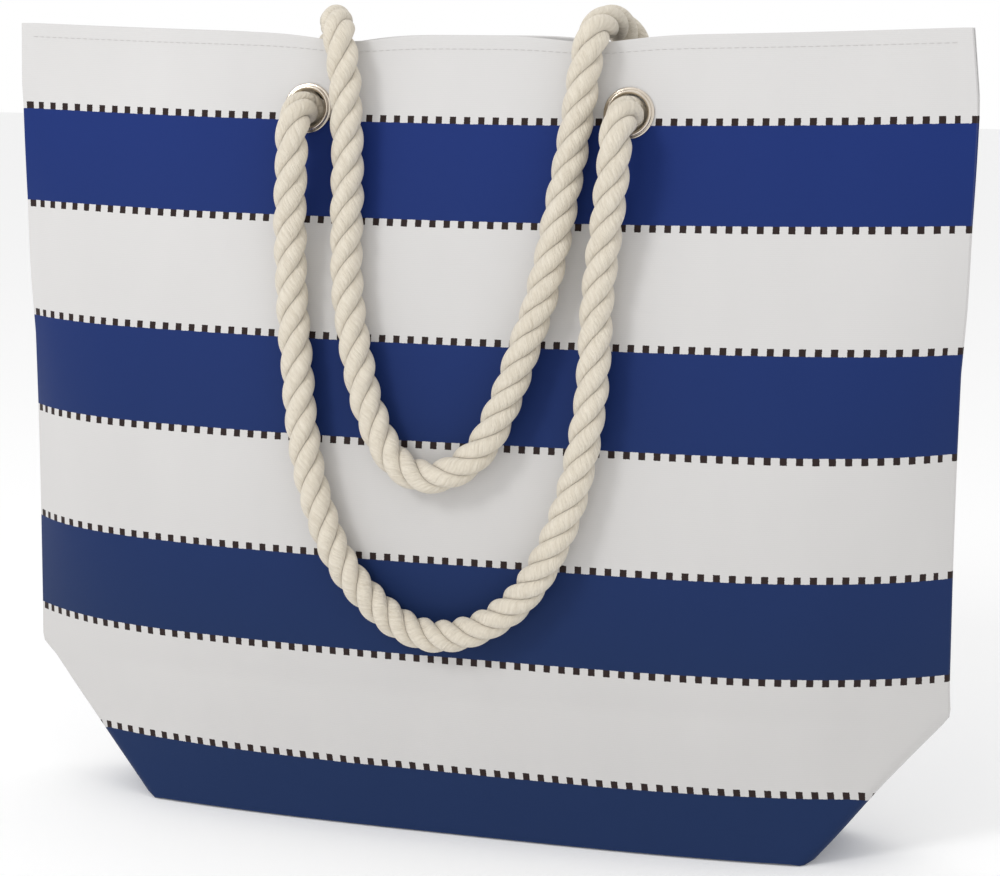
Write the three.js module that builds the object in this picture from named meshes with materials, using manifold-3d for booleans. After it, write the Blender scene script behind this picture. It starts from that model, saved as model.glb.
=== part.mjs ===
// Rope-handled beach tote: striped outer shell, lining, eyelets, two rope handles.
// Millimetres. X runs along the mouth, -Y is the front, +Z is up, the base stands at z = 0.
import * as THREE from "three";
import { mergeVertices } from "three/addons/utils/BufferGeometryUtils.js";
import Module from "manifold-3d";

const wasm = await Module();
wasm.setup();

// driving dimensions
const halfWidth = 247; // half the flat width of a panel, seam to middle
const wallDrop = 397; // rim to base edge along the fabric
const rimMiddle = 394; // height of the rim at the middle
const rimLift = 5; // how much higher the rim stands at the side seams
const shoulderDrop = 319; // rim to the point where the corner gusset starts
const baseHalfWidth = 172;
const baseHalfDepth = 32;
const creaseInset = 6; // the gusset crease starts this far inside the side seam
const rimDent = 5; // how far the rear rope presses each rim down where it crosses
const dentX = { front: 64, rear: 80 };
const dentReach = 26;
const dentDrop = 30; // the dent has faded out this far below the rim
const seamGap = 0.2; // half the gap between front and back cloth at a seam
const liningThick = 0.8;
const panelThick = 1.2;
const layerGap = 0.3;
const facingDrop = 68; // depth of the facing band inside the rim
const eyeletDrop = 37; // rim to eyelet centre
const frontEyeletX = 83;
const rearEyeletX = 96;
const eyeletHole = 9.2;
const barrelRadius = 10;
const clothHole = 10.4;
const flangeRadius = 12.4;
const ropeRadius = 8.1;
const ropeSides = 10;
const endGap = 0.15; // half the gap between two stretches of one rope
const knotSize = [19, 16, 19]; // half sizes of a stopper knot
const clothColumns = 22;
const curveSteps = 40;

const panelInner = liningThick + layerGap;
const panelOuter = panelInner + panelThick;
const turn = Math.PI / 180;

// each side's bow: the slope of its ends in degrees at these drops, and how late the slope grows
const bowDrops = [0, 50, 100, 150, 200, 250, 325, 400];
const frontBow = { name: "front", slopes: [0, 12, 24, 36, 44, 43, 34, 5], sharpTop: 6.5, sharpBase: 2 };
const rearBow = { name: "rear", slopes: [14, 20, 25, 28, 30, 30, 28, 5], sharpTop: 2.1, sharpBase: 2.4 };

const material = (name, color, roughness, metalness = 0) =>
  new THREE.MeshStandardMaterial({ name, color, roughness, metalness });
const stripeCloth = material("striped_canvas", 0xdedcda, 0.75);
const blueCloth = material("blue_canvas", 0x27386a, 0.75);
const liningCloth = material("lining_cloth", 0xe6e2d8, 0.85);
const nickel = material("nickel", 0xc9c6c0, 0.25, 1);
const cotton = material("cotton_rope", 0xd9cfbf, 0.9);

const bag = new THREE.Group();
bag.name = "beach_bag";

function addPart(name, geometry, finish, parent = bag) {
  const mesh = new THREE.Mesh(geometry, finish);
  mesh.name = name;
  parent.add(mesh);
  return mesh;
}

// linear reading of a short list of values
function readAlong(stops, values, at) {
  const last = stops.length - 1;
  let i = 0;
  while (i < last - 1 && at > stops[i + 1]) i++;
  const part = (at - stops[i]) / (stops[i + 1] - stops[i]);
  return values[i] + (values[i + 1] - values[i]) * Math.min(1, Math.max(0, part));
}

// the bowed line that one row of cloth follows in plan, from its middle to its end;
// its slope grows as a power of the distance, so its length never changes
function rowCurve(bow, drop, length) {
  const slope = readAlong(bowDrops, bow.slopes, drop) * turn;
  const sharp = bow.sharpTop + ((bow.sharpBase - bow.sharpTop) * drop) / 400;
  const xs = [0];
  const ys = [0];
  const step = length / curveSteps;
  for (let i = 0; i < curveSteps; i++) {
    const angle = slope * ((i + 0.5) / curveSteps) ** sharp;
    xs.push(xs[i] + Math.cos(angle) * step);
    ys.push(ys[i] + Math.sin(angle) * step);
  }
  const stops = xs.map((_, i) => i * step);
  return (s) => [readAlong(stops, xs, s), ys[curveSteps] - readAlong(stops, ys, s)];
}

// how far from the middle the side seam would stand at each of bowDrops, for each side
const seamReach = [frontBow, rearBow].map((bow) =>
  bowDrops.map((drop, i) => {
    const full = halfWidth - creaseInset;
    return rowCurve(bow, drop, full)(full)[0] + creaseInset * Math.cos(bow.slopes[i] * turn);
  }),
);

// the seam's real place, common to both sides, and how much a row is eased out to meet it
function seamPlace(bow, drop) {
  const [front, rear] = seamReach.map((reach) => readAlong(bowDrops, reach, Math.min(drop, shoulderDrop)));
  const common = Math.max(front, rear);
  return { common, ease: common / (bow === frontBow ? front : rear) - 1 };
}

// how far the crossing rope presses the cloth down
function dent(bow, s, drop) {
  const fade = Math.max(0, 1 - drop / dentDrop) ** 2;
  return rimDent * fade * Math.exp(-(((Math.abs(s) - dentX[bow.name]) / dentReach) ** 2));
}

// where a row of cloth has its gusset crease, and how deep the crease lies
function rowEnds(bow, drop) {
  const below = Math.max(0, drop - shoulderDrop) / (wallDrop - shoulderDrop);
  const slope = readAlong(bowDrops, bow.slopes, Math.min(drop, shoulderDrop)) * turn;
  const creaseAt = halfWidth - creaseInset + (baseHalfWidth - halfWidth + creaseInset) * below;
  const creaseDeep = creaseInset * Math.sin(slope);
  const deep = creaseDeep + (baseHalfDepth - creaseDeep) * below;
  const seamAt = creaseAt + creaseInset + (baseHalfDepth - creaseInset) * below;
  return { below, slope, creaseAt, seamAt, deep };
}

// the point of the innermost cloth surface at s across and drop down; side is -1 front, +1 rear
function clothPoint(side, s, drop) {
  const bow = side < 0 ? frontBow : rearBow;
  const { below, slope, creaseAt, seamAt, deep } = rowEnds(bow, drop);
  const along = Math.min(Math.abs(s), creaseAt);
  const beyond = Math.max(0, Math.abs(s) - creaseAt);
  const [straight, bowed] = rowCurve(bow, drop, creaseAt)(along);
  const { common, ease } = seamPlace(bow, drop);
  const across = straight * (1 + ease * (1 - below));
  const z = (1 - drop / wallDrop) * (rimMiddle + rimLift * (along / creaseAt) ** 2) - dent(bow, s, drop);
  let x = across;
  let y = bowed + deep;
  if (beyond > 0 && below === 0) {
    x += beyond * Math.cos(slope);
    y -= beyond * Math.sin(slope);
  } else if (beyond > 0) {
    const seamX = common + (baseHalfWidth - common) * below;
    x += ((seamX - across) * beyond) / (seamAt - creaseAt);
    y -= (deep * beyond) / (seamAt - creaseAt);
  }
  return new THREE.Vector3(Math.sign(s) * x, side * (y + seamGap), z);
}

// outward direction of the cloth at a point
function clothNormal(side, s, drop) {
  const small = 0.5;
  const reach = s > 0 ? -small : small;
  const across = clothPoint(side, s + reach, drop).sub(clothPoint(side, s, drop)).multiplyScalar(reach);
  const topStep = drop < small ? 0 : -small;
  const lowStep = drop > wallDrop - small ? 0 : small;
  const down = clothPoint(side, s, drop + lowStep).sub(clothPoint(side, s, drop + topStep));
  const normal = across.cross(down).normalize();
  return normal.y * side < 0 || (Math.abs(normal.y) < 0.05 && normal.x * s < 0) ? normal.negate() : normal;
}

// a closed skin of cloth between two offsets from the reference surface
function clothSkin(side, drops, inner, outer) {
  const positions = [];
  const index = [];
  const perRow = clothColumns + 3;
  for (const offset of [outer, inner]) {
    for (const drop of drops) {
      const { creaseAt, seamAt } = rowEnds(side < 0 ? frontBow : rearBow, drop);
      for (let i = 0; i < perRow; i++) {
        const inside = ((i - 1) / clothColumns) * 2 - 1;
        const s = i === 0 ? -seamAt : i === perRow - 1 ? seamAt : inside * creaseAt;
        const normal = clothNormal(side, s, drop);
        const point = clothPoint(side, s, drop).addScaledVector(normal, offset);
        if (side * point.y < seamGap) point.y = side * seamGap;
        if (drop === wallDrop) point.z = 0;
        positions.push(point.x, point.y, point.z);
      }
    }
  }
  const rows = drops.length;
  const at = (layer, row, col) => (layer * rows + row) * perRow + col;
  const quad = (a, b, c, d) => (side < 0 ? index.push(a, b, c, a, c, d) : index.push(a, c, b, a, d, c));
  for (let r = 0; r < rows - 1; r++) {
    for (let c = 0; c < perRow - 1; c++) {
      quad(at(0, r, c), at(0, r + 1, c), at(0, r + 1, c + 1), at(0, r, c + 1));
      quad(at(1, r, c), at(1, r, c + 1), at(1, r + 1, c + 1), at(1, r + 1, c));
    }
    quad(at(0, r, 0), at(1, r, 0), at(1, r + 1, 0), at(0, r + 1, 0));
    const end = perRow - 1;
    quad(at(0, r, end), at(0, r + 1, end), at(1, r + 1, end), at(1, r, end));
  }
  for (let c = 0; c < perRow - 1; c++) {
    quad(at(0, 0, c), at(0, 0, c + 1), at(1, 0, c + 1), at(1, 0, c));
    const low = rows - 1;
    quad(at(0, low, c), at(1, low, c), at(1, low, c + 1), at(0, low, c + 1));
  }
  const geometry = new THREE.BufferGeometry();
  geometry.setAttribute("position", new THREE.Float32BufferAttribute(positions, 3));
  geometry.setIndex(index);
  return geometry;
}

function toSolid(geometry) {
  const bare = geometry.clone();
  bare.deleteAttribute("normal");
  bare.deleteAttribute("uv");
  const merged = mergeVertices(bare, 1e-4);
  const vertProperties = new Float32Array(merged.attributes.position.array);
  const triVerts = new Uint32Array(merged.index.array);
  return new wasm.Manifold(new wasm.Mesh({ numProp: 3, vertProperties, triVerts }));
}

function toGeometry(solid) {
  const mesh = solid.getMesh();
  const geometry = new THREE.BufferGeometry();
  geometry.setAttribute("position", new THREE.BufferAttribute(new Float32Array(mesh.vertProperties), 3));
  geometry.setIndex(new THREE.BufferAttribute(new Uint32Array(mesh.triVerts), 1));
  return geometry;
}

// place of an eyelet: its centre on the inner cloth surface and its outward axis
function eyeletPlace(side, x) {
  const centre = clothPoint(side, x, eyeletDrop);
  const axis = clothNormal(side, x, eyeletDrop);
  return { centre, axis };
}

function punch(geometry, side, x) {
  const { centre, axis } = eyeletPlace(side, x);
  const plug = new THREE.CylinderGeometry(clothHole, clothHole, 12, 24);
  plug.applyQuaternion(new THREE.Quaternion().setFromUnitVectors(new THREE.Vector3(0, 1, 0), axis));
  plug.translate(centre.x, centre.y, centre.z);
  return toGeometry(toSolid(geometry).subtract(toSolid(plug)));
}

const facingRows = [0, 20, 55, facingDrop];
const lowerRows = [100, 130, 160, 190, 220, 250, 285, shoulderDrop, 345, 371, 394];
const wallRows = [...facingRows, ...lowerRows, wallDrop];
const liningRows = [facingDrop + layerGap, ...lowerRows];
const sides = [
  { side: -1, name: "front", eyeletX: frontEyeletX },
  { side: 1, name: "rear", eyeletX: rearEyeletX },
];

for (const { side, name, eyeletX } of sides) {
  let panel = clothSkin(side, wallRows, panelInner, panelOuter);
  let facing = clothSkin(side, facingRows, 0, liningThick);
  for (const x of [-eyeletX, eyeletX]) {
    panel = punch(panel, side, x);
    facing = punch(facing, side, x);
  }
  addPart(`${name}_panel`, panel, stripeCloth);
  addPart(`${name}_rim_facing`, facing, stripeCloth);
  addPart(`${name}_lining`, clothSkin(side, liningRows, 0, liningThick), liningCloth);
}

// base panel and base lining: flat plates that follow the lower edge of the walls
function basePlate(offset, thick, lift) {
  const outline = new THREE.Shape();
  const points = [];
  for (const side of [-1, 1]) {
    for (let i = 0; i <= clothColumns; i++) {
      const s = ((i / clothColumns) * 2 - 1) * -side * baseHalfWidth;
      const p = clothPoint(side, s, wallDrop);
      points.push(new THREE.Vector2(p.x * (1 - (2 * layerGap) / baseHalfWidth), p.y + side * offset));
    }
  }
  outline.setFromPoints(points);
  const plate = new THREE.ExtrudeGeometry(outline, { depth: thick, bevelEnabled: false });
  return plate.translate(0, 0, lift);
}
addPart("base_panel", basePlate(liningThick - layerGap, panelThick, 0), blueCloth);
addPart("base_lining", basePlate(-layerGap, liningThick, panelThick + layerGap), liningCloth);

// two-part eyelets: a flanged barrel outside and a washer inside, turned about their axis
const eyeletProfile = [
  [eyeletHole, -2.2], [barrelRadius, -2.2], [barrelRadius, 2.6], [flangeRadius, 2.6], [flangeRadius, 3.2],
  [11.6, 4.2], [10.7, 4.5], [9.7, 4.2], [eyeletHole, 3.5], [eyeletHole, -2.2],
];
const washerProfile = [
  [barrelRadius + layerGap, -1.7], [flangeRadius, -1.7], [flangeRadius, -0.5],
  [barrelRadius + layerGap, -0.5], [barrelRadius + layerGap, -1.7],
];
const spun = (profile) => new THREE.LatheGeometry(profile.map(([r, h]) => new THREE.Vector2(r, h)), 20);

for (const { side, name, eyeletX } of sides) {
  for (const [hand, x] of [["left", -eyeletX], ["right", eyeletX]]) {
    const { centre, axis } = eyeletPlace(side, x);
    const seat = new THREE.Group();
    seat.position.copy(centre);
    seat.quaternion.setFromUnitVectors(new THREE.Vector3(0, 1, 0), axis);
    bag.add(seat);
    addPart(`${name}_${hand}_eyelet`, spun(eyeletProfile), nickel, seat);
    addPart(`${name}_${hand}_washer`, spun(washerProfile), nickel, seat);
  }
}

// the front rope, from its left knot out through the eyelets and back to its right knot
const frontRoute = [
  [-64, 10, 320.2], [-75.8, 7.4, 344.4], [-80.8, 5, 352.4], [-83, -3.5, 357.3], [-83, -10.9, 358.6],
  [-82.7, -19.5, 357.6], [-82.3, -27, 352.6], [-82, -31.2, 345.5], [-81.8, -32.2, 337], [-82.6, -33, 305],
  [-80.2, -36.8, 266], [-75.2, -43.5, 232], [-70.6, -48.9, 203], [-64, -51.6, 174], [-49.5, -53.3, 139],
  [-31.3, -52.9, 118], [-13, -52.7, 106.5], [3, -52.7, 104.5], [23, -52.7, 110.5], [43, -53, 126],
  [57, -53.3, 148], [67.7, -51.4, 177], [74, -47.4, 211], [75.8, -42.2, 240], [75.6, -36, 272],
  [78.6, -33, 305], [81.8, -32.2, 337], [82, -31.2, 345.5], [82.3, -27, 352.6], [82.7, -19.5, 357.6],
  [83, -10.9, 358.6], [83, -3.5, 357.3], [80.8, 5, 352.4], [75.8, 7.4, 344.4], [64, 10, 320.2],
];
// the rear rope, up the rear outside, over the rim and down the front
const rearRoute = [
  [-109.5, 11.5, 330], [-103.4, 10.1, 345], [-98.3, 12.6, 352.9], [-96.8, 21.3, 357.4], [-97.1, 31, 358.9],
  [-96, 40.4, 364.2], [-94, 43.4, 374.8], [-88.5, 40, 384.4], [-82, 31.5, 395.3], [-74.5, 11.5, 401.3],
  [-65.6, -8.3, 396.6], [-62.6, -13.6, 388.6], [-60.4, -15.9, 379], [-56.6, -21, 343], [-51.6, -35.3, 272],
  [-45.3, -41.5, 243.6], [-36.6, -46.6, 215], [-22, -50.5, 190.3], [-5.5, -51.2, 183], [11, -51, 188.2],
  [22.5, -49.4, 199], [33, -45.4, 222], [40.5, -41.2, 246], [48, -35.6, 273], [57.4, -22.6, 335],
  [62.8, -15.9, 379], [64, -13.6, 388.6], [65.2, -8.3, 396.6], [67.5, 11.5, 401.8], [70.5, 31.5, 397],
  [77.5, 40.5, 386], [87, 44.4, 375.2], [94.4, 40.6, 364.6], [97.1, 31, 358.9], [96.8, 21.3, 357.4],
  [98.3, 12.6, 352.9], [103.4, 10.1, 345], [109.5, 11.5, 330],
];

// a stretch of a longer curve, in millimetres along it
class Stretch extends THREE.Curve {
  constructor(whole, from, to) {
    super();
    Object.assign(this, { whole, from, to });
  }
  getPoint(t, target = new THREE.Vector3()) {
    const along = this.from + (this.to - this.from) * t;
    return target.copy(this.whole.getPointAt(along / this.whole.getLength()));
  }
}

function ropeSection() {
  const corners = [];
  for (let i = 0; i < ropeSides; i++) {
    const angle = (i / ropeSides) * 2 * Math.PI;
    corners.push(new THREE.Vector2(ropeRadius * Math.cos(angle), ropeRadius * Math.sin(angle)));
  }
  return new THREE.Shape(corners);
}

// the stretches of one rope, split where it starts to bend and where its free loop starts
function addRope(name, route, cuts, bendName) {
  const whole = new THREE.CatmullRomCurve3(route.map((p) => new THREE.Vector3(...p)), false, "centripetal");
  whole.arcLengthDivisions = 1200;
  const last = route.length - 1;
  const lengths = whole.getLengths();
  const lengthAt = (point) => lengths[Math.round((point / last) * whole.arcLengthDivisions)];
  const stops = [0, ...cuts, ...cuts.toReversed().map((point) => last - point), last].map(lengthAt);
  const names = ["left_end", `left_${bendName}`, "loop", `right_${bendName}`, "right_end"];
  names.forEach((part, i) => {
    const stretch = new Stretch(whole, stops[i] + endGap, stops[i + 1] - endGap);
    const steps = Math.ceil((stretch.to - stretch.from) / (part === "loop" ? 2.2 : 0.9) / ropeRadius);
    const tube = new THREE.ExtrudeGeometry(ropeSection(), { steps, extrudePath: stretch, bevelEnabled: false });
    addPart(`${name}_rope_${part}`, tube, cotton);
  });
}
addRope("front", frontRoute, [4, 8], "bend");
addRope("rear", rearRoute, [7, 12], "crest");

// stopper knots inside the bag, as plain rounded bodies
const knots = { front: [62, 10, 300], rear: [117, 13.2, 311.4] };
for (const [name, [x, y, z]] of Object.entries(knots)) {
  for (const [hand, turnSide] of [["left", -1], ["right", 1]]) {
    const body = new THREE.SphereGeometry(1, 12, 8).scale(...knotSize);
    addPart(`${name}_${hand}_knot`, body, cotton).position.set(turnSide * x, y, z);
  }
}

export default bag;
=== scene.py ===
import math
import bpy
import numpy as np
from mathutils import Matrix, Vector, noise


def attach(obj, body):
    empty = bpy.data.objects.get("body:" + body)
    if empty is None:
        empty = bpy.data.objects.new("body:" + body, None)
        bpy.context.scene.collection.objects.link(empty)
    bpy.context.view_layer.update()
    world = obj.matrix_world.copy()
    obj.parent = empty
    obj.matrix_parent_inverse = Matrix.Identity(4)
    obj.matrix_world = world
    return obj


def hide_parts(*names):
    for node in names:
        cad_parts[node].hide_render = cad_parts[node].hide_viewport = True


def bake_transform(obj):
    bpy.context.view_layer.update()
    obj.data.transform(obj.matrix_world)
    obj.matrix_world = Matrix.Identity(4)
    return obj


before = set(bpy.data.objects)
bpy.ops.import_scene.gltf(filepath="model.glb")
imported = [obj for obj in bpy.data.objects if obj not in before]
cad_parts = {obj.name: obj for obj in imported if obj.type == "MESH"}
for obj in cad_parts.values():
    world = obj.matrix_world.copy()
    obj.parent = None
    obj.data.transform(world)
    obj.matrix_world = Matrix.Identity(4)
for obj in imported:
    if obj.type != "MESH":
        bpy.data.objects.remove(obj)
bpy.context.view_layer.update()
mm = 0.001
print("frame loaded,", len(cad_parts), "parts")


cameraView = {
    "place": (0.3668, -1.1416, 0.3982),
    "turn": 17.063,  # degrees left of straight ahead
    "down": 9.645,
    "roll": 0.302,
    "lens": 86.81,
}


def makeCamera(view):
    turn, down, roll = (math.radians(view[k]) for k in ("turn", "down", "roll"))
    ahead = Vector((-math.sin(turn) * math.cos(down), math.cos(turn) * math.cos(down), -math.sin(down)))
    level = Vector((math.cos(turn), math.sin(turn), 0))
    above = level.cross(ahead)
    right = level * math.cos(roll) + above * math.sin(roll)
    up = above * math.cos(roll) - level * math.sin(roll)
    data = bpy.data.cameras.new("camera")
    data.lens = view["lens"]
    data.sensor_width = 36
    data.sensor_fit = "HORIZONTAL"
    camera = bpy.data.objects.new("camera", data)
    bpy.context.collection.objects.link(camera)
    facing = Matrix((right, up, -ahead)).transposed().to_4x4()
    camera.matrix_world = Matrix.Translation(view["place"]) @ facing
    bpy.context.scene.camera = camera


makeCamera(cameraView)


def addMesh(name, points, faces, uv=None, crease=None):
    mesh = bpy.data.meshes.new(name)
    mesh.from_pydata([tuple(p) for p in points], [], [tuple(f) for f in faces])
    if uv is not None:
        layer = mesh.uv_layers.new(name="cloth")
        corners = np.zeros(len(mesh.loops), np.int32)
        mesh.loops.foreach_get("vertex_index", corners)
        layer.data.foreach_set("uv", np.asarray(uv, np.float32)[corners].ravel())
    mesh.shade_smooth()
    if crease is not None:
        mesh.set_sharp_from_angle(angle=math.radians(crease))
    mesh.update()
    piece = bpy.data.objects.new(name, mesh)
    bpy.context.collection.objects.link(piece)
    return piece


def asPlainMesh(piece):  # bakes live modifiers into the mesh
    flat = bpy.data.meshes.new_from_object(piece.evaluated_get(bpy.context.evaluated_depsgraph_get()))
    flat.name = piece.name
    piece.modifiers.clear()
    piece.data = flat
    return piece


def newMaterial(name, **settings):
    material = bpy.data.materials.new(name)
    material.use_nodes = True
    shader = material.node_tree.nodes["Principled BSDF"]
    for socket, value in settings.items():
        shader.inputs[socket.replace("_", " ")].default_value = value
    return material, material.node_tree, shader


def addNode(tree, kind, inputs=(), **settings):
    made = tree.nodes.new(kind)
    for key, value in settings.items():
        setattr(made, key, value)
    for i, value in enumerate(inputs):
        if value is None:
            continue
        if isinstance(value, bpy.types.NodeSocket):
            tree.links.new(value, made.inputs[i])
        else:
            made.inputs[i].default_value = value
    return made


def calc(tree, operation, *values):
    return addNode(tree, "ShaderNodeMath", values, operation=operation).outputs[0]


def mixColours(tree, share, first, second):
    mix = tree.nodes.new("ShaderNodeMix")
    mix.data_type = "RGBA"
    for socket, value in ((mix.inputs[0], share), (mix.inputs[6], first), (mix.inputs[7], second)):
        if isinstance(value, bpy.types.NodeSocket):
            tree.links.new(value, socket)
        else:
            socket.default_value = value
    return mix.outputs[2]


def addBump(tree, shader, height, strength, distance):
    bump = addNode(tree, "ShaderNodeBump", (strength, distance))
    tree.links.new(height, bump.inputs["Height"])
    tree.links.new(bump.outputs[0], shader.inputs["Normal"])


def noiseOn(tree, vector, scale, detail=3.0, rough=0.5):
    made = addNode(tree, "ShaderNodeTexNoise", (vector,))
    made.inputs["Scale"].default_value = scale
    made.inputs["Detail"].default_value = detail
    made.inputs["Roughness"].default_value = rough
    return made.outputs[0]


def stretched(tree, vector, scale):
    return addNode(tree, "ShaderNodeMapping", (vector, None, None, scale)).outputs[0]


canvasLook = {
    "whiteTop": (0.665, 0.655, 0.648, 1),
    "whiteLowShaded": (0.6, 0.588, 0.578, 1),
    "blueTop": (0.009, 0.028, 0.16, 1),
    "blueLowShaded": (0.0095, 0.026, 0.09, 1),  # the lower bands are painted darker, as shade from light falling from above
    "tick": (0.026, 0.016, 0.015, 1),
    "firstBand": 0.0429,  # rim to the first blue band, along the cloth
    "blueBand": 0.0472,
    "whiteBand": 0.0602,
    "tickPitch": 0.0074,
    "tickWidth": 0.0033,
    "tickHeight": 0.0035,
    "threadPitch": 0.00062,
    "ragged": 0.0005,  # how far the woven edges stray
    "shadeFrom": 0.05,  # painted shade: the cloth is brighter above this drop and fully darkened below the next
    "shadeTo": 0.32,
}


def weaveHeight(tree, uvMap, u, v, pitch):  # plain weave as the product of two waves, with uneven threads
    uneven = noiseOn(tree, stretched(tree, uvMap, (60, 900, 1)), 1, 2)
    warp = calc(tree, "SINE", calc(tree, "MULTIPLY", u, 2 * math.pi / pitch))
    weft = calc(tree, "SINE", calc(tree, "MULTIPLY", v, 2 * math.pi / pitch))
    return calc(tree, "ADD", calc(tree, "MULTIPLY", warp, weft), calc(tree, "MULTIPLY", uneven, 1.6))


def stripedCanvas(look):
    material, tree, shader = newMaterial("stripedCanvas", Roughness=0.6, Sheen_Weight=0.03)
    shader.inputs["Sheen Roughness"].default_value = 0.4
    shader.inputs["Specular IOR Level"].default_value = 0.14
    uvMap = addNode(tree, "ShaderNodeUVMap", uv_map="cloth").outputs[0]
    parts = addNode(tree, "ShaderNodeSeparateXYZ", (uvMap,))
    u, v = parts.outputs[0], parts.outputs[1]
    stray = calc(tree, "SUBTRACT", noiseOn(tree, uvMap, 1500, 2), 0.5)
    jitter = calc(tree, "MULTIPLY", stray, look["ragged"])
    vWoven = calc(tree, "ADD", v, jitter)
    period = look["blueBand"] + look["whiteBand"]
    place = calc(tree, "WRAP", calc(tree, "SUBTRACT", vWoven, look["firstBand"]), period, 0)
    inBlue = calc(tree, "LESS_THAN", place, look["blueBand"])
    rowAbove = calc(tree, "GREATER_THAN", place, period - look["tickHeight"])
    rowBelow = calc(tree, "MULTIPLY", calc(tree, "SUBTRACT", 1, inBlue),
                    calc(tree, "LESS_THAN", place, look["blueBand"] + look["tickHeight"]))
    across = calc(tree, "WRAP", calc(tree, "ADD", u, jitter), look["tickPitch"], 0)
    inTick = calc(tree, "MULTIPLY", calc(tree, "LESS_THAN", across, look["tickWidth"]),
                  calc(tree, "ADD", rowAbove, rowBelow))
    cloud = noiseOn(tree, stretched(tree, uvMap, (14, 5, 1)), 1, 4, 0.6)
    shade = calc(tree, "MULTIPLY", calc(tree, "SUBTRACT", cloud, 0.5), 0.1)
    weft = calc(tree, "SINE", calc(tree, "MULTIPLY", v, 2 * math.pi / (look["threadPitch"] * 1.5)))
    tone = calc(tree, "ADD", calc(tree, "ADD", 1, shade), calc(tree, "MULTIPLY", weft, 0.012))
    # painted shade: white and blue darken down the cloth between these two drops
    lower = addNode(tree, "ShaderNodeMapRange", (v, look["shadeFrom"], look["shadeTo"], 0, 1)).outputs[0]
    blue = mixColours(tree, lower, look["blueTop"], look["blueLowShaded"])
    white = mixColours(tree, lower, look["whiteTop"], look["whiteLowShaded"])
    banded = mixColours(tree, inTick, mixColours(tree, inBlue, white, blue), look["tick"])
    toned = addNode(tree, "ShaderNodeVectorMath", (banded, tone), operation="SCALE")
    tree.links.new(tone, toned.inputs["Scale"])
    tree.links.new(toned.outputs[0], shader.inputs["Base Color"])
    addBump(tree, shader, weaveHeight(tree, uvMap, u, v, look["threadPitch"]), 0.22, 0.00012)
    return material


def plainCloth(name, colour, pitch, strength):
    material, tree, shader = newMaterial(name, Roughness=0.78, Sheen_Weight=0.15)
    shader.inputs["Specular IOR Level"].default_value = 0.25
    uvMap = addNode(tree, "ShaderNodeUVMap", uv_map="cloth").outputs[0]
    parts = addNode(tree, "ShaderNodeSeparateXYZ", (uvMap,))
    duller = tuple(c * 0.86 for c in colour[:3]) + (1,)
    tint = mixColours(tree, noiseOn(tree, uvMap, 35, 5, 0.6), colour, duller)
    tree.links.new(tint, shader.inputs["Base Color"])
    height = weaveHeight(tree, uvMap, parts.outputs[0], parts.outputs[1], pitch)
    addBump(tree, shader, height, strength, 0.0002)
    return material


ropeLook = {
    "light": (0.82, 0.755, 0.64, 1),
    "yarnShade": (0.56, 0.49, 0.38, 1),  # the duller fibres in between
    "deep": (0.1, 0.062, 0.03, 1),  # painted shade: the darker colour down in the grooves between the strands
    "fibreLong": 110,  # noise scales along and across the rope, per metre
    "fibreWide": 950,
    "tufts": (260, 620, 1),
}


def cottonRope(look):
    material, tree, shader = newMaterial("cottonRope", Roughness=0.85, Sheen_Weight=0.25, Sheen_Roughness=0.6)
    shader.inputs["Specular IOR Level"].default_value = 0.12
    uvMap = addNode(tree, "ShaderNodeUVMap", uv_map="cloth").outputs[0]
    fibres = noiseOn(tree, stretched(tree, uvMap, (look["fibreLong"], look["fibreWide"], 1)), 1, 4, 0.65)
    tufts = noiseOn(tree, stretched(tree, uvMap, look["tufts"]), 1, 4, 0.7)
    cloud = noiseOn(tree, addNode(tree, "ShaderNodeTexCoord").outputs["Object"], 60, 3, 0.5)
    # painted shade: the groove attribute darkens the rope down in the grooves
    grooveShadeAmount = addNode(tree, "ShaderNodeAttribute", attribute_name="groove").outputs["Fac"]
    dull = addNode(tree, "ShaderNodeMapRange", (fibres, 0.38, 0.72, 0, 0.62)).outputs[0]
    body = mixColours(tree, dull, look["light"], look["yarnShade"])
    body = mixColours(tree, calc(tree, "MULTIPLY", cloud, 0.25), body, look["yarnShade"])
    tree.links.new(mixColours(tree, grooveShadeAmount, body, look["deep"]), shader.inputs["Base Color"])
    height = calc(tree, "ADD", fibres, calc(tree, "MULTIPLY", tufts, 0.6))
    addBump(tree, shader, height, 0.9, 0.0012)
    return material


def nickelPlate():
    material, tree, shader = newMaterial("nickelPlate", Metallic=1.0)
    coords = addNode(tree, "ShaderNodeTexCoord").outputs["Object"]
    smear = noiseOn(tree, coords, 260, 4, 0.6)
    rough = addNode(tree, "ShaderNodeMapRange", (smear, 0.3, 0.7, 0.14, 0.24)).outputs[0]
    tree.links.new(rough, shader.inputs["Roughness"])
    tint = mixColours(tree, smear, (0.78, 0.71, 0.62, 1), (0.68, 0.6, 0.5, 1))
    tree.links.new(tint, shader.inputs["Base Color"])
    addBump(tree, shader, noiseOn(tree, coords, 300, 2), 0.03, 0.0001)
    return material


def sewingThread():
    material, tree, shader = newMaterial("sewingThread", Roughness=0.7)
    coords = addNode(tree, "ShaderNodeTexCoord").outputs["Object"]
    tint = mixColours(tree, noiseOn(tree, coords, 900, 2), (0.6, 0.585, 0.575, 1), (0.5, 0.485, 0.475, 1))
    tree.links.new(tint, shader.inputs["Base Color"])
    return material


stripes = stripedCanvas(canvasLook)
# the base cloth takes the lower blue, with its painted shade
blueCloth = plainCloth("blueCanvas", canvasLook["blueLowShaded"], canvasLook["threadPitch"], 0.25)
liningCloth = plainCloth("liningCloth", (0.58, 0.555, 0.51, 1), 0.0009, 0.5)
cotton = cottonRope(ropeLook)
nickel = nickelPlate()
thread = sewingThread()
print("materials made")


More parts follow.
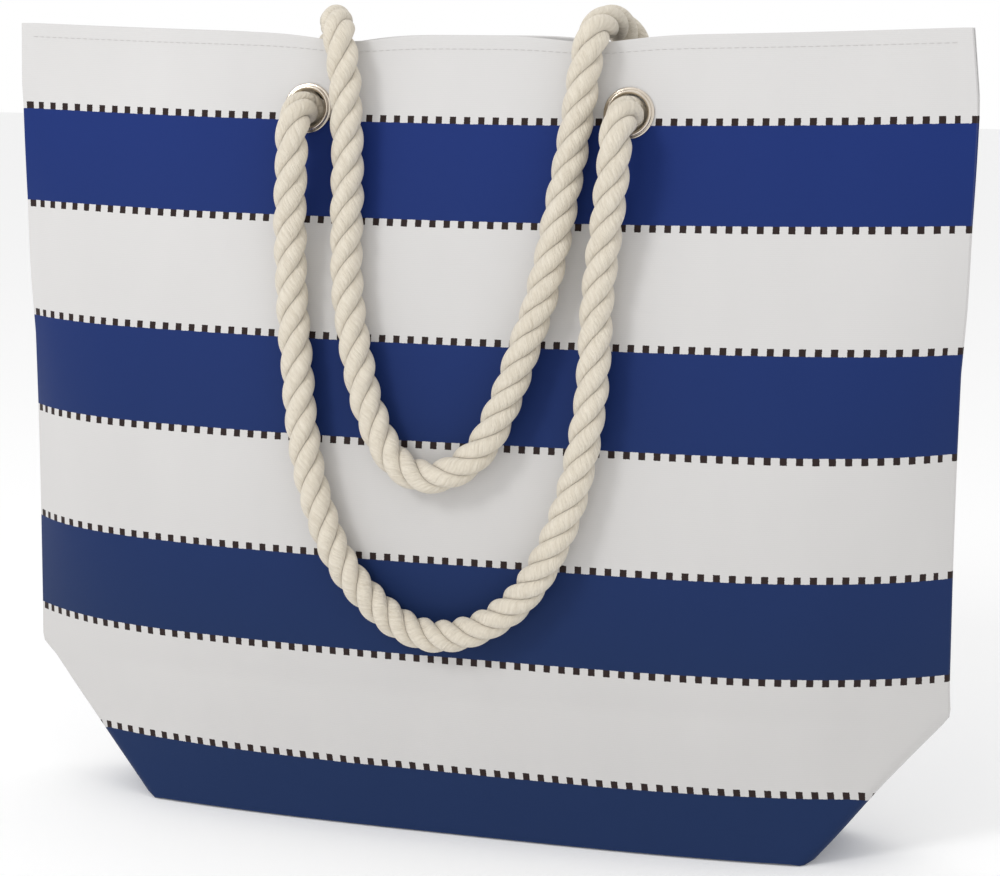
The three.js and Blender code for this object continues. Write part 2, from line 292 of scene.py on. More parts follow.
# routes in millimetres, from knot to knot
frontRoute = [
    (-64, 10, 320.2), (-75.8, 7.4, 344.4), (-80.8, 5, 352.4), (-83, -3.5, 357.3), (-83, -10.9, 358.6),
    (-82.7, -19.5, 357.6), (-82.3, -27, 352.6), (-82, -31.2, 345.5), (-81.8, -32.2, 337), (-82.6, -33, 305),
    (-80.2, -36.8, 266), (-75.2, -43.5, 232), (-70.6, -48.9, 203), (-64, -51.6, 174), (-49.5, -53.3, 139),
    (-31.3, -52.9, 118), (-13, -52.7, 106.5), (3, -52.7, 104.5), (23, -52.7, 110.5), (43, -53, 126),
    (57, -53.3, 148), (67.7, -51.4, 177), (74, -47.4, 211), (75.8, -42.2, 240), (75.6, -36, 272),
    (78.6, -33, 305), (81.8, -32.2, 337), (82, -31.2, 345.5), (82.3, -27, 352.6), (82.7, -19.5, 357.6),
    (83, -10.9, 358.6), (83, -3.5, 357.3), (80.8, 5, 352.4), (75.8, 7.4, 344.4), (64, 10, 320.2),
]
rearRoute = [
    (-109.5, 11.5, 330), (-103.4, 10.1, 345), (-98.3, 12.6, 352.9), (-96.8, 21.3, 357.4), (-97.1, 31, 358.9),
    (-96, 40.4, 364.2), (-94, 43.4, 374.8), (-88.5, 40, 384.4), (-82, 31.5, 395.3), (-74.5, 11.5, 401.3),
    (-65.6, -8.3, 396.6), (-62.6, -13.6, 388.6), (-60.4, -15.9, 379), (-56.6, -21, 343), (-51.6, -35.3, 272),
    (-45.3, -41.5, 243.6), (-36.6, -46.6, 215), (-22, -50.5, 190.3), (-5.5, -51.2, 183), (11, -51, 188.2),
    (22.5, -49.4, 199), (33, -45.4, 222), (40.5, -41.2, 246), (48, -35.6, 273), (57.4, -22.6, 335),
    (62.8, -15.9, 379), (64, -13.6, 388.6), (65.2, -8.3, 396.6), (67.5, 11.5, 401.8), (70.5, 31.5, 397),
    (77.5, 40.5, 386), (87, 44.4, 375.2), (94.4, 40.6, 364.6), (97.1, 31, 358.9), (96.8, 21.3, 357.4),
    (98.3, 12.6, 352.9), (103.4, 10.1, 345), (109.5, 11.5, 330),
]

rope = {
    "radius": 8.1,
    "strandOut": 3.75,  # rope middle to strand middle
    "strandHigh": 4.45,
    "strandWide": 5.0,
    "strandColumns": 26,
    "ringStep": 1.2,
    "exitPoint": 4,  # the route point, from either end, where the rope leaves the cloth
    "wander": 0.4,  # how much a strand's fullness varies along the rope
    "wanderLong": 17,
    "strandApart": 5.3,  # keeps the three strands from varying alike
    "grooveShadeFrom": 0.78,  # where the painted groove shade starts, from a strand's middle to its edge
    "grooveShadeWide": 0.22,
    "grooveShadeEase": 2.2,
    "lay": 43,  # one turn of a strand, along the rope
    "openLay": {"front": 31.5, "rear": 38},  # at the bottom of each loop, where the strands open up
    "openReach": 95,
    "curvePieces": 24,  # between two points of a route
}


def smoothRoute(points, step):  # centripetal curve through the points, evenly spaced
    p = [Vector(q) for q in points]
    p = [p[0] * 2 - p[1]] + p + [p[-1] * 2 - p[-2]]
    fine = []
    for a, b, c, d in zip(p, p[1:], p[2:], p[3:]):
        t1 = math.sqrt((b - a).length)
        t2 = t1 + math.sqrt((c - b).length)
        t3 = t2 + math.sqrt((d - c).length)
        for i in range(rope["curvePieces"]):
            t = t1 + (t2 - t1) * i / rope["curvePieces"]
            ab = a.lerp(b, t / t1)
            bc = b.lerp(c, (t - t1) / (t2 - t1))
            cd = c.lerp(d, (t - t2) / (t3 - t2))
            early = ab.lerp(bc, t / t2)
            late = bc.lerp(cd, (t - t1) / (t3 - t1))
            fine.append(early.lerp(late, (t - t1) / (t2 - t1)))
    fine = np.array(fine + [p[-2]])
    at = np.concatenate([[0], np.cumsum(np.linalg.norm(np.diff(fine, axis=0), axis=1))])
    even = np.linspace(0, at[-1], round(at[-1] / step) + 1)
    return np.stack([np.interp(even, at, fine[:, k]) for k in range(3)], axis=1), even


def carriedFrames(line):  # two crosswise directions carried along the line without twisting
    tangent = np.gradient(line, axis=0)
    tangent /= np.linalg.norm(tangent, axis=1)[:, None]
    side = np.zeros_like(line)
    start = np.cross(tangent[0], (0, 1, 0))
    side[0] = start / np.linalg.norm(start)
    for i in range(1, len(line)):
        s = side[i - 1] - tangent[i] * np.dot(side[i - 1], tangent[i])
        side[i] = s / np.linalg.norm(s)
    return side, np.cross(tangent, side)


def strandTurn(line, at, low):  # how far the strands have wound, at each place along the rope
    middle = at[int(np.argmin(line[:, 2]))]
    lay = rope["lay"] + (low - rope["lay"]) * np.exp(-(((at - middle) / rope["openReach"]) ** 2))
    steps = np.diff(at) / ((lay[1:] + lay[:-1]) / 2)
    return 2 * math.pi * np.concatenate([[0], np.cumsum(steps)])


def strandOutline(high):  # a strand's surface: angle from its middle, distance out, and the strength of the painted groove shade
    ease = np.linspace(-1, 1, rope["strandColumns"] + 1)
    near = math.pi / 3 * np.sin(ease * math.pi / 2)
    c, s = np.cos(near), np.sin(near)
    a = (c / high) ** 2 + (s / rope["strandWide"]) ** 2
    b = -2 * c * rope["strandOut"] / high**2
    k = (rope["strandOut"] / high) ** 2 - 1
    out = (-b + np.sqrt(b * b - 4 * a * k)) / (2 * a)
    deep = np.clip((np.abs(ease) - rope["grooveShadeFrom"]) / rope["grooveShadeWide"], 0, 1) ** rope["grooveShadeEase"]
    return near, out, deep


def layRope(name, line, at, frames, wound, first, last, size=1.0):  # three strands, closed at both ends
    side, lift = frames
    n = 3 * rope["strandColumns"]
    points, groove = [], []
    for i in range(first, last + 1):
        ring, shade = [], []
        for strand in range(3):
            spot = Vector((at[i] / rope["wanderLong"], strand * rope["strandApart"], len(name)))
            near, out, deep = strandOutline(rope["strandHigh"] + rope["wander"] * noise.noise(spot))
            angle = near + wound[i] + strand * 2 * math.pi / 3
            sideways, upwards = out * size * np.cos(angle), out * size * np.sin(angle)
            ring.append(np.outer(sideways, side[i]) + np.outer(upwards, lift[i]))
            shade.append(deep)
        points.append(line[i] + np.concatenate([r[:-1] for r in ring]))
        groove.append(np.concatenate([g[:-1] for g in shade]))
    rows = len(points)
    wide = 2 * math.pi * rope["radius"] / n
    faces, uv = [], []
    for i in range(rows - 1):  # fibres lie along the rope, and the map's own seam lies in a groove
        low, high = at[first + i], at[first + i + 1]
        for j in range(n):
            k = (j + 1) % n
            faces.append((i * n + j, i * n + k, (i + 1) * n + k, (i + 1) * n + j))
            a = wound[first + i] * rope["radius"] + j * wide
            b = wound[first + i + 1] * rope["radius"] + j * wide
            uv += [(low, a), (low, a + wide), (high, b + wide), (high, b)]
    points = np.concatenate(points + [line[[first, last]]])
    groove = np.append(np.concatenate(groove), (0.5, 0.5))
    for tip, row in ((rows * n, 0), (rows * n + 1, rows - 1)):
        for j in range(n):
            a, b = row * n + j, row * n + (j + 1) % n
            faces.append((tip, b, a) if row == 0 else (tip, a, b))
            uv += [(at[first], 0), (at[first], j * wide), (at[first] + 4, j * wide)]
    piece = addMesh(name, points * mm, faces)
    layer = piece.data.uv_layers.new(name="cloth")
    layer.data.foreach_set("uv", (np.array(uv, np.float32) * mm).ravel())
    # the groove attribute carries the painted shade in the grooves
    shade = piece.data.attributes.new("groove", "FLOAT", "POINT")
    shade.data.foreach_set("value", groove.astype(np.float32))
    piece.data.materials.append(cotton)
    return piece


knot = {"loop": 4.1, "rise": 6.6, "thick": 0.86, "points": 48, "ringStep": 1.4}


def tieKnot(name, centre, hand):  # a plain overhand knot, pulled tight
    t = np.linspace(0, 2 * math.pi, knot["points"], endpoint=False)
    x = knot["loop"] * (np.sin(t) + 2 * np.sin(2 * t)) * hand
    z = knot["loop"] * (np.cos(t) - 2 * np.cos(2 * t))
    y = -knot["rise"] * np.sin(3 * t)
    turns = [tuple(p) for p in np.stack([x, y, z], axis=1) + np.array(centre)]
    line, at = smoothRoute(turns + turns[:2], knot["ringStep"])
    wound = strandTurn(line, at, rope["lay"])
    piece = layRope(name, line, at, carriedFrames(line), wound, 0, len(line) - 1, knot["thick"])
    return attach(piece, "root")


handles = {
    "front": {
        "route": frontRoute,
        "bends": "bend",
        "stillUpTo": (0, -0.0109, 0.3586),  # metres; the rope turns smoothly between these two
        "swingsFrom": (0, -0.0289, 0.3350),
        "knot": (62, 10, 300),
    },
    "rear": {
        "route": rearRoute,
        "bends": "crest",
        "stillUpTo": (0, 0.036, 0.4014),
        "swingsFrom": (0, -0.010, 0.4014),
        "knot": (117, 13.2, 311.4),
    },
}


def hangRope(name, handle):
    route = handle["route"]
    line, at = smoothRoute(route, rope["ringStep"])
    frames = carriedFrames(line)
    wound = strandTurn(line, at, rope["openLay"][name])
    exits = (np.array(route[rope["exitPoint"]]), np.array(route[-1 - rope["exitPoint"]]))
    cut = [int(np.argmin(np.linalg.norm(line - place, axis=1))) for place in exits]
    outside = layRope(name + "Rope", line, at, frames, wound, cut[0], cut[1])
    loop = f"{name}_rope_"
    bends = handle["bends"]
    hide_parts(loop + "left_" + bends, loop + "loop", loop + "right_" + bends)
    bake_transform(outside)
    for hand, first, last in (("Left", 0, cut[0]), ("Right", cut[1], len(line) - 1)):
        piece = layRope(f"{name}Rope{hand}End", line, at, frames, wound, first, last)
        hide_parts(f"{loop}{hand.lower()}_end")
        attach(piece, "root")
    x, y, z = handle["knot"]
    for hand, turn in (("Left", -1), ("Right", 1)):
        stopper = tieKnot(f"{name}{hand}Knot", (turn * x, y, z), turn)
        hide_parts(f"{name}_{hand.lower()}_knot")


for name, handle in handles.items():
    hangRope(name, handle)


bag = {
    "halfWidth": 247,
    "wallDrop": 397,
    "rimMiddle": 394,
    "rimLift": 5,
    "shoulderDrop": 325,
    "baseHalfWidth": 172,
    "baseHalfDepth": 32,
    "creaseInset": 6,
    "seamGap": 0.2,
    "fade": 40,  # dents, shifts and unevenness grow over this distance from an edge
    "lean": 9,  # how far the standing bag's base sits to the right of its rim
    "leanDrops": (330, 397),  # the lean grows between these two
    "sideShift": 1.7,  # the side edges alone, below the rim
    "trimDrops": (0, 30, 90, 130),
    "trims": (3.1, 1.1, 1.1, 0),  # how far the cloth draws in near the rim
    "bowDrops": (0, 50, 100, 150, 200, 250, 325, 400),  # -1 is the front and 1 the rear
    -1: {"slopes": (0, 12, 24, 36, 44, 43, 34, 5), "sharpTop": 6.5, "sharpBase": 2},
    1: {"slopes": (14, 20, 25, 28, 30, 30, 28, 5), "sharpTop": 2.1, "sharpBase": 2.4},
    "eyeletDrop": 37,
    "eyeletX": {-1: 83, 1: 96},
    "dentX": {-1: 64, 1: 80},  # where a rope crosses the rim and presses it down
    "dentReach": 26,
    "dentDeep": {-1: 3.5, 1: 5},
    "dentDrop": 30,
    "inner": 1.1,  # the shell's two faces, measured from the innermost cloth surface
    "outer": 2.3,
    "facing": 0.8,
    "facingDrop": 68,
    "liningGap": 0.3,  # between the facing's lower edge and the lining
    "liningDrop": 394,
    "columns": 150,
    "gussetColumns": 10,
    "rowStep": 3.4,
    "bowSteps": 80,
    "blur": 18,  # bow and lean are averaged over this much cloth, up and down
    "lipSteps": 8,  # round the cloth's upper edge
    "crease": 55,  # degrees; sharper edges than this stay sharp
}


def averaged(drop, drops, values):
    return np.interp(drop + np.linspace(-bag["blur"], bag["blur"], 9), drops, values).mean()


def slopeAt(side, drop):
    return math.radians(averaged(drop, bag["bowDrops"], bag[side]["slopes"]))


def rowEnds(side, drop):  # where a row has its gusset crease and its seam, and how deep the crease lies
    below = max(0, drop - bag["shoulderDrop"]) / (bag["wallDrop"] - bag["shoulderDrop"])
    slope = slopeAt(side, min(drop, bag["shoulderDrop"]))
    inset = bag["creaseInset"]
    creaseAt = bag["halfWidth"] - inset + (bag["baseHalfWidth"] - bag["halfWidth"] + inset) * below
    creaseDeep = inset * math.sin(slope)
    deep = creaseDeep + (bag["baseHalfDepth"] - creaseDeep) * below
    seamAt = creaseAt + inset + (bag["baseHalfDepth"] - inset) * below
    return below, creaseAt, seamAt, deep


def bowLine(side, drop, length, along):  # a bowed row of cloth, whose length never changes
    bow = bag[side]
    sharp = bow["sharpTop"] + (bow["sharpBase"] - bow["sharpTop"]) * drop / bag["bowDrops"][-1]
    steps = bag["bowSteps"]
    angle = slopeAt(side, drop) * ((np.arange(steps) + 0.5) / steps) ** sharp
    x = np.concatenate([[0], np.cumsum(np.cos(angle))]) * length / steps
    y = np.concatenate([[0], np.cumsum(np.sin(angle))]) * length / steps
    stops = np.arange(steps + 1) * length / steps
    return np.interp(along, stops, x), y[-1] - np.interp(along, stops, y)


def seamAcross(drop):  # the side seam's distance from the middle, for the front and for the rear
    full = np.array([bag["halfWidth"] - bag["creaseInset"]])
    reach = {}
    for side in (-1, 1):
        cloth = bowLine(side, drop, full[0], full)[0][0]
        reach[side] = cloth + bag["creaseInset"] * math.cos(slopeAt(side, drop))
    return reach


def pressed(side, s, drop):  # how far the crossing rope presses the rim down
    fade = max(0, 1 - drop / bag["dentDrop"]) ** 2
    off = (np.abs(s) - bag["dentX"][side]) / bag["dentReach"]
    return bag["dentDeep"][side] * fade * np.exp(-(off**2))


unevenness = {
    "waveWide": 95,
    "waveHigh": 120,
    "waveDeep": 2.0,
    "waveInwards": 0.35,
    "waveMiddle": 200,  # the waves are deepest at this drop and die away towards the rim and the base
    "waveReach": 210,
    "waveLeast": 0.2,
    "smallWide": 34,
    "smallHigh": 60,
    "smallDeep": 0.35,
    "rippleDeep": {-1: 0.78, 1: 1.3},  # the soft scallops near the rim
    "rippleWide": 26,
    "rippleReach": 150,
    "rippleDrop": 90,
}


def settled(side, s, drop):  # soft unevenness of standing cloth, mostly inwards
    u = unevenness
    quiet = np.clip(1 - (abs(drop - u["waveMiddle"]) / u["waveReach"]) ** 4, u["waveLeast"], 1)
    wave = [noise.noise(Vector((q / u["waveWide"], drop / u["waveHigh"], 7.0 * side))) for q in s]
    small = [noise.noise(Vector((q / u["smallWide"], drop / u["smallHigh"], 3.0 + side))) for q in s]
    near = np.exp(-((drop / u["rippleDrop"]) ** 2)) * np.exp(-((s / u["rippleReach"]) ** 4))
    ripple = near * u["rippleDeep"][side] * np.cos(s / u["rippleWide"] + 0.8 * side)
    wave = (np.array(wave) - u["waveInwards"]) * u["waveDeep"] * quiet
    return wave + np.array(small) * u["smallDeep"] + ripple


def clothRow(side, s, drop):  # points of the innermost cloth surface, in millimetres
    below, creaseAt, seamAt, deep = rowEnds(side, drop)
    along = np.minimum(np.abs(s), creaseAt)
    beyond = np.maximum(0, np.abs(s) - creaseAt)
    straight, y = bowLine(side, drop, creaseAt, along)
    reach = seamAcross(min(drop, bag["shoulderDrop"]))
    common = max(reach.values())
    across = straight * (1 + (common / reach[side] - 1) * (1 - below))
    y = y + deep
    z = (1 - drop / bag["wallDrop"]) * (bag["rimMiddle"] + bag["rimLift"] * (along / creaseAt) ** 2)
    z = z - pressed(side, s, drop)
    seamX = common + (bag["baseHalfWidth"] - common) * below
    x = across + (seamX - across) * beyond / (seamAt - creaseAt)
    y = y - deep * beyond / (seamAt - creaseAt)
    edge = np.clip((seamAt - np.abs(s)) / bag["fade"], 0, 1)
    y = y + settled(side, s, drop) * edge * min(1, (bag["wallDrop"] - drop) / bag["fade"])
    lean = bag["lean"] * averaged(drop, bag["leanDrops"], (0, 1))
    trim = np.interp(drop, bag["trimDrops"], bag["trims"]) / bag["halfWidth"]
    shift = bag["sideShift"] * min(1, drop / bag["fade"]) * (s / bag["halfWidth"]) ** 2
    x = np.sign(s) * x * (1 - trim) + lean + shift
    return np.stack([x, side * (np.maximum(y, 0) + bag["seamGap"]), z], axis=1)


def clothGrid(side, drops):  # rows of points, their outward normals and their places on the flat cloth
    n, g = bag["columns"], bag["gussetColumns"]
    inside = np.linspace(-1, 1, n + 1)
    points, flat = [], []
    for drop in drops:
        _, creaseAt, seamAt, _ = rowEnds(side, drop)
        tail = creaseAt + (seamAt - creaseAt) * np.linspace(0, 1, g + 1)[1:]
        s = np.concatenate([-tail[::-1], inside * creaseAt, tail])
        points.append(clothRow(side, s, drop))
        flat.append(np.stack([s, np.full(len(s), drop)], axis=1))
    points = np.array(points)
    for _ in range(3):  # softens the gusset crease and the shoulder
        points[:, 1:-1] = (points[:, :-2] + 2 * points[:, 1:-1] + points[:, 2:]) / 4
    across = np.gradient(points, axis=1)
    down = np.gradient(points, axis=0)
    normal = np.cross(across, down) * -side
    normal /= np.linalg.norm(normal, axis=2)[:, :, None]
    return points, normal * np.sign((normal[:, :, 1:2] * side) + 1e-9), np.array(flat)


def spreadRows(first, last):
    return np.linspace(first, last, max(2, round((last - first) / bag["rowStep"]) + 1))


def clothShell(name, side, first, last, inner, outer, material):  # a closed skin with a rounded upper edge
    drops = spreadRows(first, last)
    points, normal, flat = clothGrid(side, drops)
    half = (outer - inner) / 2
    layers, places = [], []
    for k in range(len(drops))[::-1]:
        layers.append(points[k] + normal[k] * outer)
        places.append(flat[k])
    for turn in np.linspace(0, math.pi, bag["lipSteps"] + 1)[1:-1]:
        rise = np.array((0, half * math.sin(turn)))
        over = normal[0] * (inner + half * (1 + math.cos(turn)))
        layers.append(points[0] + over + np.array((0, *rise)))
        places.append(flat[0] - rise)
    for k in range(len(drops)):
        layers.append(points[k] + normal[k] * inner)
        places.append(flat[k])
    layers = np.array(layers)
    layers[:, :, 1] = side * np.maximum(layers[:, :, 1] * side, bag["seamGap"] / 2)
    layers[:, (0, -1), 1] = side * bag["seamGap"] / 2  # the side seam is sewn shut
    layers[:, :, 2] = np.maximum(layers[:, :, 2], 0)
    m, n = layers.shape[:2]
    faces = []
    for k in range(m):
        up = (k + 1) % m
        for c in range(n - 1):
            faces.append((k * n + c, k * n + c + 1, up * n + c + 1, up * n + c))
    for k in range(m // 2):  # the two ends, between the outer and the inner face
        rows = (k, k + 1, m - 2 - k, m - 1 - k)
        if rows[1] > rows[2]:
            continue
        if rows[1] == rows[2]:
            rows = (k, k + 1, m - 1 - k)
        faces.append(tuple(r * n for r in rows))
        faces.append(tuple(r * n + n - 1 for r in rows[::-1]))
    if side > 0:
        faces = [face[::-1] for face in faces]
    places = np.array(places).reshape(-1, 2)
    piece = addMesh(name, layers.reshape(-1, 3) * mm, faces, places * mm, bag["crease"])
    piece.data.materials.append(material)
    return piece


def eyeletSeat(side, x):  # centre on the inner cloth surface and outward direction, in millimetres
    step = 1.0
    mid, right = clothRow(side, np.array([x, x + step]), bag["eyeletDrop"])
    low = clothRow(side, np.array([x, x + step]), bag["eyeletDrop"] + step)[0]
    normal = Vector(np.cross(right - mid, low - mid)).normalized()
    return Vector(mid), normal if normal.y * side > 0 else -normal


eyelet = {
    "clothHole": 10.4,
    "steps": 96,
    "drillReach": 8,
    "drillSides": 48,
    "crease": 40,
    # turned profiles as (radius, height above the inner cloth surface)
    "flange": [
        (9.2, -2.2), (9.6, -2.35), (10.0, -2.2), (10.0, 2.6), (11.9, 2.6), (12.35, 2.7), (12.55, 2.95),
        (12.5, 3.25), (12.25, 3.5), (11.85, 3.6), (11.55, 3.55), (11.4, 3.6), (11.25, 3.85), (11.1, 4.2),
        (10.85, 4.5), (10.5, 4.65), (10.1, 4.6), (9.75, 4.4), (9.45, 4.05), (9.25, 3.55), (9.2, 3.0),
    ],
    "washer": [
        (10.3, -1.5), (10.5, -1.7), (12.2, -1.7), (12.4, -1.5), (12.4, -0.7), (12.2, -0.5), (10.5, -0.5),
        (10.3, -0.7),
    ],
}


def turned(name, profile, seat, direction):  # metal turned round the eyelet's axis
    spin = direction.to_track_quat("Z", "Y").to_matrix()
    points, faces = [], []
    steps, count = eyelet["steps"], len(profile)
    for i in range(steps):
        a = 2 * math.pi * i / steps
        for r, h in profile:
            points.append((seat + spin @ Vector((r * math.cos(a), r * math.sin(a), h))) * mm)
    for i in range(steps):
        j = (i + 1) % steps
        for k in range(count):
            up = (k + 1) % count
            faces.append((i * count + k, j * count + k, j * count + up, i * count + up))
    piece = addMesh(name, points, faces, crease=eyelet["crease"])
    piece.data.materials.append(nickel)
    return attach(piece, "root")


def punchHoles(piece, side):  # real holes through the cloth, hidden under the flanges
    drills = []
    for x in (-bag["eyeletX"][side], bag["eyeletX"][side]):
        seat, direction = eyeletSeat(side, x)
        spin = direction.to_track_quat("Z", "Y").to_matrix()
        n, r, reach = eyelet["drillSides"], eyelet["clothHole"], eyelet["drillReach"]
        ring = [(r * math.cos(a), r * math.sin(a)) for a in np.linspace(0, 2 * math.pi, n, endpoint=False)]
        points = [(seat + spin @ Vector((*place, h))) * mm for h in (-reach, reach) for place in ring]
        faces = [(i, (i + 1) % n, n + (i + 1) % n, n + i) for i in range(n)]
        faces += [tuple(range(n - 1, -1, -1)), tuple(range(n, 2 * n))]
        drill = addMesh("drill", points, faces)
        cut = piece.modifiers.new("hole", "BOOLEAN")
        cut.operation = "DIFFERENCE"
        cut.object = drill
        cut.solver = "EXACT"
        drills.append(drill)
    asPlainMesh(piece)
    for drill in drills:
        bpy.data.objects.remove(drill)


stitchLook = {
    "pitch": 3.5,
    "long": 2.6,
    "thick": 0.28,
    "down": 6.2,  # below the rim
    "reach": 238,  # from the middle to either end of the row
    "points": 240,
    "proud": 0.1,
}


def stitchTree(look):  # stitches set along a line as short rounded dashes
    tree = bpy.data.node_groups.new("topstitch", "GeometryNodeTree")
    face = tree.interface
    face.new_socket("Geometry", in_out="INPUT", socket_type="NodeSocketGeometry")
    for label, size in (("Pitch", "pitch"), ("Stitch length", "long"), ("Thread", "thick")):
        socket = face.new_socket(label, in_out="INPUT", socket_type="NodeSocketFloat")
        socket.default_value = look[size] * mm
    face.new_socket("Geometry", in_out="OUTPUT", socket_type="NodeSocketGeometry")
    start, end = addNode(tree, "NodeGroupInput"), addNode(tree, "NodeGroupOutput")
    curve = addNode(tree, "GeometryNodeMeshToCurve", (start.outputs[0],))
    even = addNode(tree, "GeometryNodeResampleCurve", (curve.outputs[0],), mode="LENGTH")
    tree.links.new(start.outputs["Pitch"], even.inputs["Length"])
    tangent = addNode(tree, "GeometryNodeInputTangent")
    aim = addNode(tree, "FunctionNodeAlignEulerToVector", axis="X")
    tree.links.new(tangent.outputs[0], aim.inputs["Vector"])
    dash = addNode(tree, "GeometryNodeMeshUVSphere")
    dash.inputs["Segments"].default_value = 8
    dash.inputs["Rings"].default_value = 6
    dash.inputs["Radius"].default_value = 0.5
    size = addNode(tree, "ShaderNodeCombineXYZ")
    tree.links.new(start.outputs["Stitch length"], size.inputs[0])
    tree.links.new(start.outputs["Thread"], size.inputs[1])
    tree.links.new(start.outputs["Thread"], size.inputs[2])
    place = addNode(tree, "GeometryNodeInstanceOnPoints", (even.outputs[0],))
    tree.links.new(dash.outputs[0], place.inputs["Instance"])
    tree.links.new(aim.outputs[0], place.inputs["Rotation"])
    tree.links.new(size.outputs[0], place.inputs["Scale"])
    real = addNode(tree, "GeometryNodeRealizeInstances", (place.outputs[0],))
    paint = addNode(tree, "GeometryNodeSetMaterial", (real.outputs[0],))
    paint.inputs["Material"].default_value = thread
    tree.links.new(paint.outputs[0], end.inputs[0])
    return tree


topstitch = stitchTree(stitchLook)


def sewRim(name, side):  # one row outside and one inside, held by the same seam
    drop = stitchLook["down"]
    points, edges = [], []
    for offset in (bag["outer"] + stitchLook["proud"], -stitchLook["proud"]):
        s = np.linspace(-stitchLook["reach"], stitchLook["reach"], stitchLook["points"])
        row = clothRow(side, s, drop)
        across = np.gradient(row, axis=0)
        down = clothRow(side, s, drop + 1) - row
        normal = np.cross(across, down)
        normal /= np.linalg.norm(normal, axis=1)[:, None]
        normal *= np.sign(normal[:, 1:2] * side)
        first = len(points)
        points += list((row + normal * offset) * mm)
        edges += [(first + i, first + i + 1) for i in range(len(s) - 1)]
    mesh = bpy.data.meshes.new(name)
    mesh.from_pydata([tuple(p) for p in points], edges, [])
    piece = bpy.data.objects.new(name, mesh)
    bpy.context.collection.objects.link(piece)
    sew = piece.modifiers.new("topstitch", "NODES")
    sew.node_group = topstitch
    for item in topstitch.interface.items_tree:
        if item.in_out == "INPUT" and item.socket_type == "NodeSocketFloat":
            sew[item.identifier] = item.default_value
    asPlainMesh(piece)
    piece.data.shade_smooth()
    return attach(piece, "root")


for side, name in ((-1, "front"), (1, "rear")):
    top = bag["facingDrop"]
    panel = clothShell(name + "Panel", side, 0, bag["wallDrop"], bag["inner"], bag["outer"], stripes)
    facing = clothShell(name + "RimFacing", side, 0, top, 0, bag["facing"], stripes)
    lining = clothShell(name + "Lining", side, top + bag["liningGap"], bag["liningDrop"], 0, bag["facing"],
                        liningCloth)
    punchHoles(panel, side)
    punchHoles(facing, side)
    for piece, node, look in ((panel, "panel", "striped_canvas"), (facing, "rim_facing", "striped_canvas"),
                              (lining, "lining", "lining_cloth")):
        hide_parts(f"{name}_{node}")
        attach(piece, "root")
    fittings = []
    for hand, x in (("left", -bag["eyeletX"][side]), ("right", bag["eyeletX"][side])):
        seat, direction = eyeletSeat(side, x)
        ring = turned(f"{name}{hand.title()}Eyelet", eyelet["flange"], seat, direction)
        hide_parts(f"{name}_{hand}_eyelet")
        washer = turned(f"{name}{hand.title()}Washer", eyelet["washer"], seat, direction)
        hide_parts(f"{name}_{hand}_washer")
        fittings += [ring, washer]
    fittings.append(sewRim(name + "Topstitch", side))
    print(name, "cloth made")


base = {
    "flat": (0.343, 0.076),
    "columns": 60,
    "rows": 16,
    "edge": 0.6,  # how far the plates stop short of the base's corners
    "crease": 40,
    "panel": {"inward": -0.4, "low": 0, "high": 1.2},
    "lining": {"inward": 0.3, "low": 1.5, "high": 2.3},
}


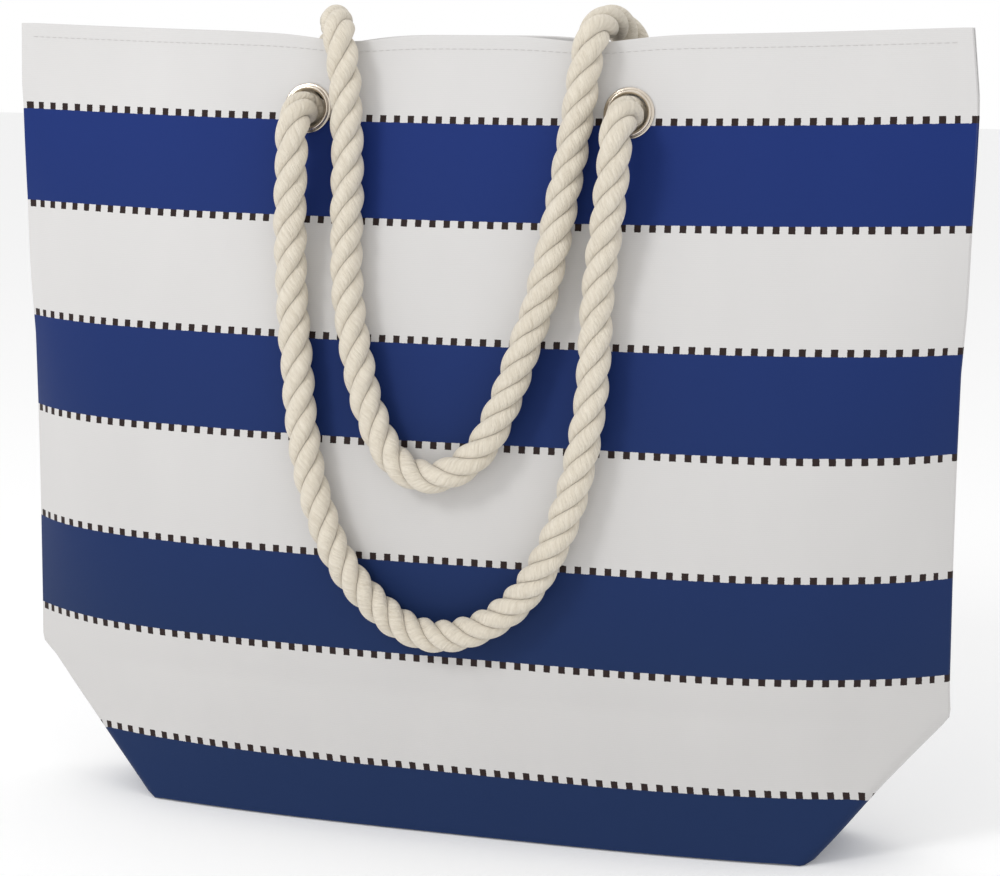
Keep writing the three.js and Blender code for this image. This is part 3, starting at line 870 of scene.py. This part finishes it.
def basePlate(layer, material):  # a flat plate between the lower edges of the two panels
    plate = base[layer]
    columns = np.linspace(-1, 1, base["columns"] + 1) * (bag["baseHalfWidth"] - base["edge"])
    front = clothRow(-1, columns, bag["wallDrop"])
    rear = clothRow(1, columns, bag["wallDrop"])
    front[:, 1] += plate["inward"]
    rear[:, 1] -= plate["inward"]
    rows = base["rows"] + 1
    layers, flat = [], []
    for z in (plate["low"], plate["high"]):
        for k in range(rows):
            line = front + (rear - front) * k / (rows - 1)
            line[:, 2] = z
            layers.append(line)
            flat.append(line[:, :2])
    n = len(columns)
    half = rows * n
    faces = []
    for k in range(rows - 1):
        for c in range(n - 1):
            a = k * n + c
            faces.append((a, a + n, a + n + 1, a + 1))
            faces.append((half + a, half + a + 1, half + a + n + 1, half + a + n))
    edge = list(range(n)) + [k * n + n - 1 for k in range(1, rows)]
    edge += [(rows - 1) * n + c for c in range(n - 2, -1, -1)] + [k * n for k in range(rows - 2, 0, -1)]
    for a, b in zip(edge, edge[1:] + edge[:1]):
        faces.append((a, b, half + b, half + a))
    points, flat = np.concatenate(layers) * mm, np.concatenate(flat) * mm
    piece = addMesh("base" + layer.title(), points, faces, flat, base["crease"])
    piece.data.materials.append(material)
    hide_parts("base_" + layer)
    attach(piece, "root")


basePlate("panel", blueCloth)
basePlate("lining", liningCloth)
print("base made")


stage = {
    "near": 6,  # metres of floor to the sides and in front
    "far": 9,
    "low": -0.0004,
    "paper": 0.95,
    "paperGlow": 0.09,
    "skySeen": 1.0,
    "skyLight": 0.84,
}


def makeStage(look):
    near, far, low = look["near"], look["far"], look["low"]
    points = [(-near, -near, low), (near, -near, low), (near, far, low), (-near, far, low)]
    floor = addMesh("floor", points, [(0, 1, 2, 3)])
    paper, _, shader = newMaterial("paper", Roughness=0.9, Emission_Strength=look["paperGlow"])
    shader.inputs["Base Color"].default_value = (look["paper"],) * 3 + (1,)
    shader.inputs["Emission Color"].default_value = (1, 1, 1, 1)
    floor.data.materials.append(paper)
    world = bpy.data.worlds.new("studio")
    world.use_nodes = True
    sky = world.node_tree.nodes["Background"]
    sky.inputs[0].default_value = (1, 1, 1, 1)
    seen = addNode(world.node_tree, "ShaderNodeLightPath").outputs["Is Camera Ray"]
    glow = addNode(world.node_tree, "ShaderNodeMapRange", (seen, 0, 1, look["skyLight"], look["skySeen"]))
    world.node_tree.links.new(glow.outputs[0], sky.inputs[1])
    bpy.context.scene.world = world
    bpy.context.scene.view_settings.view_transform = "Standard"


lamps = {
    "key": {"place": (-1.0, -1.7, 1.55), "size": 0.6, "power": 14},
    "fill": {"place": (1.6, -1.5, 0.8), "size": 1.4, "power": 0.8},
    "top": {"place": (0.1, 0.2, 2.1), "size": 1.2, "power": 2.4},
}


lampAim = (0, 0, 0.2)  # the middle of the bag, in metres


def makeLamps(settings):
    for name, lamp in settings.items():
        data = bpy.data.lights.new(name, "AREA")
        data.size = lamp["size"]
        data.energy = lamp["power"]
        light = bpy.data.objects.new(name, data)
        bpy.context.collection.objects.link(light)
        light.location = lamp["place"]
        aim = Vector(lampAim) - Vector(lamp["place"])
        light.rotation_euler = aim.to_track_quat("-Z", "Y").to_euler()


makeStage(stage)
makeLamps(lamps)
